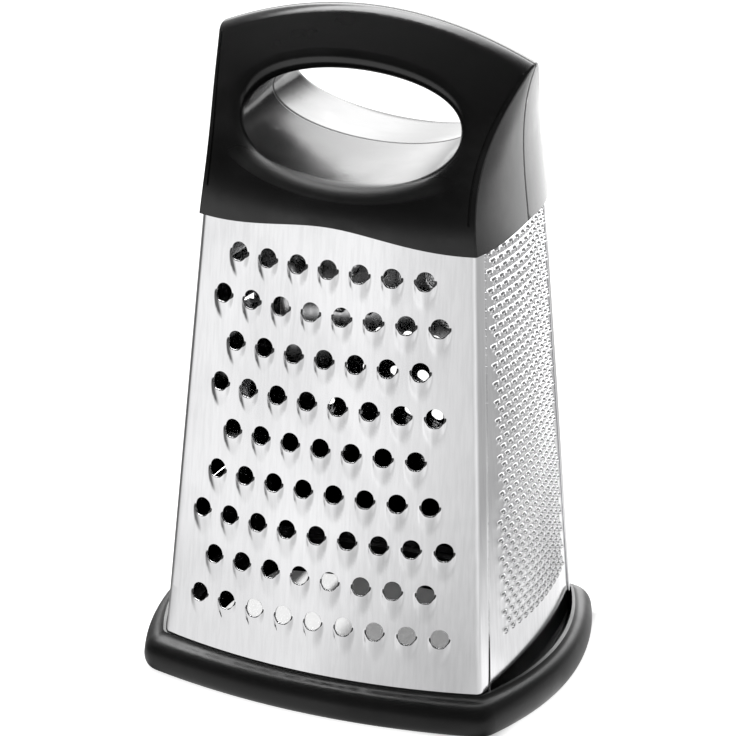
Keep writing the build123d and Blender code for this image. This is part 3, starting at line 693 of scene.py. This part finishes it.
def scoop_height(u, v, radius):
    """How far a scoop stands off the sheet, u across and v above its hole's centre. Its body is widest beside
    the hole and ends in a point: half width b falls with the power of the distance down, the ridge falls
    evenly from a level lip, and across it the height goes as s to 1.5 over s plus a little, with s = 1 - (u/b)
    squared. The mouth is a plane that rises from the hole's middle. The lower of body and mouth counts, by a
    soft minimum: the low one over the root of 1 plus the power of low over high."""
    fall = np.clip(-v / radius, 0, None)
    left = np.clip(1 - fall / SCOOP_LENGTH, 0, None)
    left = left / (1 + (left / LIP_LEVEL) ** LIP_POWER) ** (1 / LIP_POWER)
    half = SCOOP_WIDTH * np.clip(1 - (fall / SCOOP_LENGTH) ** SCOOP_TAPER, 1e-6, None)
    inside = np.clip(1 - (u / radius / half) ** 2, 0, None)
    body = SCOOP_RIDGE * left * inside**1.5 / (inside + SCOOP_ROOT)
    mouth = MOUTH_SLOPE * fall**2 / (fall + MOUTH_START)
    low, high = np.minimum(body, mouth), np.maximum(body, mouth)
    lower = low / (1 + (low / np.clip(high, 1e-9, None)) ** MOUTH_POWER) ** (1 / MOUTH_POWER)
    return radius * lower


def punched_sheet(q, z, half, surface, turn, cells, span, rim, ring_count, height):
    """A lattice of points (q, z) in which each cell of span (rows, columns) lattice steps gives way to a
    round patch. A patch's points lie on spokes from the hole's rim to the cell's outline, and stand off the
    surface by height(u, v). cells holds each cell's first row and column and its hole's along and up."""
    rows, columns = q.shape
    index = np.arange(rows * columns).reshape(rows, columns)
    lattice = np.stack([index[:-1, :-1], index[1:, :-1], index[1:, 1:], index[:-1, 1:]], -1)
    down, across = span
    loop = [(i, 0) for i in range(down)] + [(down, k) for k in range(across)]
    loop += [(i, across) for i in range(down, 0, -1)] + [(0, k) for k in range(across, 0, -1)]
    loop = np.array(loop)
    first_row, first_column = cells[:, 0].astype(int), cells[:, 1].astype(int)
    keep = np.ones(lattice.shape[:2], bool)
    for i in range(down):
        for k in range(across):
            keep[first_row + i, first_column + k] = False
    edge = index[first_row[:, None] + loop[:, 0], first_column[:, None] + loop[:, 1]]
    edge_u = q.ravel()[edge] * half(z.ravel()[edge]) - cells[:, 2:3]
    edge_v = z.ravel()[edge] - cells[:, 3:4]
    angle = np.arctan2(edge_v, edge_u)
    rim_u, rim_v = rim(angle)
    share = (np.arange(ring_count) / ring_count)[:, None] ** RING_CROWDING
    u = rim_u[:, None] + (edge_u - rim_u)[:, None] * share
    v = rim_v[:, None] + (edge_v - rim_v)[:, None] * share
    patch_z = v + cells[:, 3][:, None, None]
    patch_q = (u + cells[:, 2][:, None, None]) / half(patch_z)
    new = rows * columns + np.arange(u.size).reshape(u.shape)
    rings = np.concatenate([new, edge[:, None]], 1)
    inner, outer = rings[:, :-1], rings[:, 1:]
    after = lambda ring: np.roll(ring, -1, axis=2)
    patches = np.stack([inner, outer, after(outer), after(inner)], -1)
    faces = np.concatenate([lattice[keep].reshape(-1, 4), patches.reshape(-1, 4)])
    lift = np.concatenate([np.zeros(q.size), height(u, v).ravel()])
    points, normals = surface(
        np.concatenate([q.ravel(), patch_q.ravel()]), np.concatenate([z.ravel(), patch_z.ravel()])
    )
    return placed(points + normals * lift[:, None], turn), faces


def stretched_columns(z, step, count, margin):
    """Lattice columns on a wide face, as q for each height: count steps each way stay true to size up to a
    margin from the bend, and the rest share what is left evenly."""
    half = face_half(z)[:, None]
    along = np.arange(-count, count + 1) * step
    true_reach = half - margin
    last = count * step
    beyond = np.clip(np.abs(along) - true_reach, 0, None) * margin / (last - true_reach)
    return np.sign(along) * (np.minimum(np.abs(along), true_reach) + beyond) / half


def with_flanges(q):
    """Adds the columns of the bends and flanges to a wide face's columns."""
    bend = 1 + np.arange(1, BEND_STEPS + 1) / BEND_STEPS
    flange = 2 + np.arange(1, FLANGE_STEPS + 1) / FLANGE_STEPS
    right = np.broadcast_to(np.concatenate([bend, flange]), (len(q), BEND_STEPS + FLANGE_STEPS))
    return np.concatenate([-right[:, ::-1], q, right], 1)


def scooped_panel(turn, radius, pitch, row_pitch, top_z, above, counts, columns, rows):
    """A wide panel: rows of scoops, each in a cell of the lattice, staggered by half a cell."""
    step = pitch / columns
    row_step = row_pitch / rows
    cell_top = top_z + above
    cell_low = cell_top - row_pitch * len(counts)
    z = np.concatenate(
        [
            np.linspace(TOP_Z, cell_top, MARGIN_ROWS, endpoint=False),
            cell_top - row_step * np.arange(rows * len(counts)),
            np.linspace(cell_low, FOOT_Z, MARGIN_ROWS + 1),
        ]
    )
    half_count = int(math.ceil(max(counts) * columns / 2)) + MARGIN_COLUMNS
    q = with_flanges(stretched_columns(z, step, half_count, COLUMN_MARGIN))
    zero_column = half_count + BEND_STEPS + FLANGE_STEPS
    cells = []
    for row, count in enumerate(counts):
        for i in range(count):
            along = (i - (count - 1) / 2) * pitch
            column = zero_column + round(along / step) - columns // 2
            cells.append((MARGIN_ROWS + row * rows, column, along, top_z - row * row_pitch))

    def rim(angle):
        """An upright ellipse, its low end drawn in by the fourth power of the sine."""
        low = np.clip(-np.sin(angle), 0, 1) ** 4
        return RIM_SHARE * radius * np.cos(angle), radius * np.sin(angle) * (1 - RIM_DRAW * low)

    height = lambda u, v: scoop_height(u, v, radius)
    grid_z = np.broadcast_to(z[:, None], q.shape)
    return punched_sheet(
        q, grid_z, face_half, wide_surface, turn, np.array(cells), (rows, columns), rim, SCOOP_RINGS, height
    )


def medium_counts():
    """How many scoops each row of the rear panel takes, odd and even rows by turns."""
    counts = []
    for row in range(MEDIUM_ROW_COUNT):
        room = 2 * (steel_half(WIDE, MEDIUM_TOP_Z - row * MEDIUM_ROW_PITCH) - MEDIUM_MARGIN)
        count = int(room / MEDIUM_PITCH)
        counts.append(count - (count + row) % 2)
    return counts


def diamond(angle, half_width, half_height):
    """A point on a diamond's outline in the direction of an angle."""
    reach = 1 / (np.abs(np.cos(angle)) / half_width + np.abs(np.sin(angle)) / half_height)
    return reach * np.cos(angle), reach * np.sin(angle)


def fine_panel():
    """The right panel: each tooth is a diamond hole on a raised diamond burr, in a cell of two by two."""
    step, row_step = TOOTH_PITCH / 2, TOOTH_ROW_PITCH / 2
    row_count = int((TOOTH_TOP_Z - TOOTH_LOW_Z) / TOOTH_ROW_PITCH) + 1
    cell_top = TOOTH_TOP_Z + row_step
    cell_low = cell_top - row_count * TOOTH_ROW_PITCH
    z = np.concatenate(
        [
            np.linspace(TOP_Z, cell_top, TOOTH_TOP_ROWS, endpoint=False),
            cell_top - row_step * np.arange(2 * row_count),
            np.linspace(cell_low, FOOT_Z, TOOTH_LOW_ROWS),
        ]
    )
    along = np.arange(-TOOTH_HALF_COLUMNS, TOOTH_HALF_COLUMNS + 1) * step
    half = narrow_half(z)[:, None]
    edge_shares = np.arange(TOOTH_EDGE_COLUMNS) / TOOTH_EDGE_COLUMNS
    edge = half - (half - TOOTH_HALF_COLUMNS * step) * edge_shares
    q = np.concatenate([-edge, np.broadcast_to(along, (len(z), len(along))), edge[:, ::-1]], 1) / half
    zero_column = TOOTH_HALF_COLUMNS + TOOTH_EDGE_COLUMNS
    cells = []
    for row in range(row_count):
        tooth_z = TOOTH_TOP_Z - row * TOOTH_ROW_PITCH
        margin = TOOTH_TOP_MARGIN + TOOTH_FIELD_DRAW * row / (row_count - 1)
        count = int(2 * (steel_half(NARROW, tooth_z) - margin) / TOOTH_PITCH) + 1
        count -= (count + row) % 2
        for i in range(count):
            tooth_along = (i - (count - 1) / 2) * TOOTH_PITCH
            column = zero_column + round(tooth_along / step) - 1
            cells.append((TOOTH_TOP_ROWS + 2 * row, column, tooth_along, tooth_z))
    base = (step * TOOTH_BASE_SHARE, row_step * TOOTH_BASE_SHARE)

    def rim(angle):
        return diamond(angle, TOOTH_HOLE, TOOTH_HOLE)

    def height(u, v):
        """Full at the hole's rim, nothing from the burr's base outwards."""
        far = np.abs(u) / base[0] + np.abs(v) / base[1]
        near = TOOTH_HOLE / base[0]
        return TOOTH_HEIGHT * np.clip((1 - far) / (1 - near), 0, 1)

    grid_z = np.broadcast_to(z[:, None], q.shape)
    return punched_sheet(
        q, grid_z, narrow_half, narrow_surface, math.pi / 2, np.array(cells), (2, 2), rim, TOOTH_RINGS, height
    )


rolled, grain, dust = rolled_group(), grain_group(), dust_group()
steel = steel_material("bright_steel", (0.84, 0.84, 0.85), (0.73, 0.73, 0.74), 0.07, 0.14, rolled)
fastener = steel_material(
    "fastener_steel", (0.66, 0.66, 0.67), (0.55, 0.55, 0.56), 0.2, 0.35, rolled,
    Line_Scale=1800.0, Smudge_Scale=150.0,
)
handle = moulded_material(
    "handle_black", (0.006, 0.006, 0.006), (0.026, 0.026, 0.026), 0.16, 0.24, 0.00002, grain, dust, 0.5,
    parted=True,
)
insert = moulded_material(
    "insert_plastic", (0.02, 0.02, 0.02), (0.035, 0.035, 0.035), 0.4, 0.55, 0.00004, grain, dust, 0.3,
    Grain_Scale=900.0,
)
rubber = moulded_material(
    "foot_rubber", (0.005, 0.005, 0.005), (0.016, 0.016, 0.016), 0.32, 0.42, 0.00005, grain, dust, 1.0,
    Grain_Scale=1100.0,
)
rubber.node_tree.nodes["Principled BSDF"].inputs["Specular IOR Level"].default_value = RUBBER_SPECULAR
slot_materials = {
    "bright_steel": steel,
    "fastener_steel": fastener,
    "handle_black": handle,
    "insert_plastic": insert,
    "foot_rubber": rubber,
}
for part in frame["record"]["subparts"]:
    node = frame["nodes"][part["node"]]
    node.data.materials.clear()
    node.data.materials.append(slot_materials[part["material_slot"]])

camera()
world()
floor()
area_lamp("overhead", LAMP_PLACE, LAMP_AIM, LAMP_SIZE, LAMP_POWER)

points, faces = scooped_panel(
    0, COARSE_RADIUS, COARSE_PITCH, COARSE_ROW_PITCH, COARSE_TOP_Z, COARSE_ABOVE,
    COARSE_COUNTS, COARSE_COLUMNS, COARSE_ROWS,
)
thicken(piece("coarse_panel_sheet", points, faces, steel, "coarse_grater_panel"))
points, faces = scooped_panel(
    math.pi, MEDIUM_RADIUS, MEDIUM_PITCH, MEDIUM_ROW_PITCH, MEDIUM_TOP_Z, MEDIUM_ABOVE,
    medium_counts(), MEDIUM_COLUMNS, MEDIUM_ROWS,
)
thicken(piece("medium_panel_sheet", points, faces, steel, "medium_grater_panel"))
points, faces = fine_panel()
thicken(piece("fine_panel_sheet", points, faces, steel, "fine_grater_panel"))

bpy.context.scene.view_settings.view_transform = "Standard"
